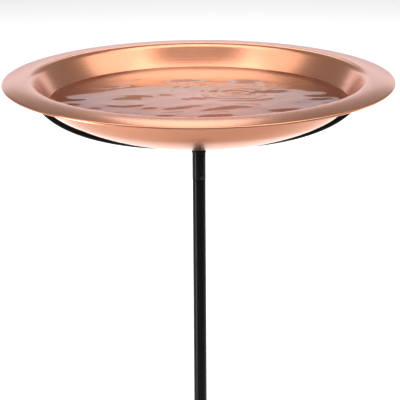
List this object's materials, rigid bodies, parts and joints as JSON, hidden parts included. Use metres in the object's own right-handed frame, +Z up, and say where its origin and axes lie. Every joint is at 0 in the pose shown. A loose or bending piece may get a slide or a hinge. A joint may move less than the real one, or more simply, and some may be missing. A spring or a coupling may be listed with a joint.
{
  "type": "bird bath",
  "caption": "Shallow copper bird bath basin resting in a two-arm rod cradle on a slim black pole with a pronged ground stake.",
  "frame": {"origin": "on the pole's axis at soil level, the underside of the prongs' horizontal arms", "axes": "+Z up along the pole, +X along the cradle's right arm; the left prong points along -X"},
  "size_m": [0.457, 0.457, 0.8252],
  "materials": {
    "copper": "satin-polished spun copper sheet",
    "black_steel": "satin black powder coat on steel tube and bar",
    "black_rubber": "matte black",
    "water": "still water with light ripples, shown in the basin",
    "zinc_screw": "dull zinc plate"
  },
  "bodies": {
    "stake": {"pole_tube": "black_steel", "pole_spigot": "black_steel", "prong_collar": "black_steel", "prong_left": "black_steel", "prong_back": "black_steel", "prong_front": "black_steel", "ground_point": "black_steel"},
    "cradle": {"cradle_stub": "black_steel", "cradle_hub": "black_steel", "cradle_arm_left": "black_steel", "cradle_arm_right": "black_steel", "arm_cap_left": "black_rubber", "arm_cap_right": "black_rubber", "seat_pad": "black_rubber"},
    "basin": {"basin_shell": "copper"},
    "screw": {"set_screw": "zinc_screw"}
  },
  "joints": [
    {"name": "cradle_turn", "type": "hinge", "parent": "stake", "child": "cradle", "pos_m": [0, 0, 0.57293], "axis": [0, 0, 1], "continuous": true},
    {"name": "basin_lift", "type": "slide", "parent": "cradle", "child": "basin", "axis": [0, 0, 1], "range_m": [0, 0.12]},
    {"name": "set_screw_turn", "type": "hinge", "parent": "cradle", "child": "screw", "pos_m": [0, 0, 0.57722], "axis": [0.4067, -0.9135, 0], "range_deg": [0, 1080]}
  ]
}
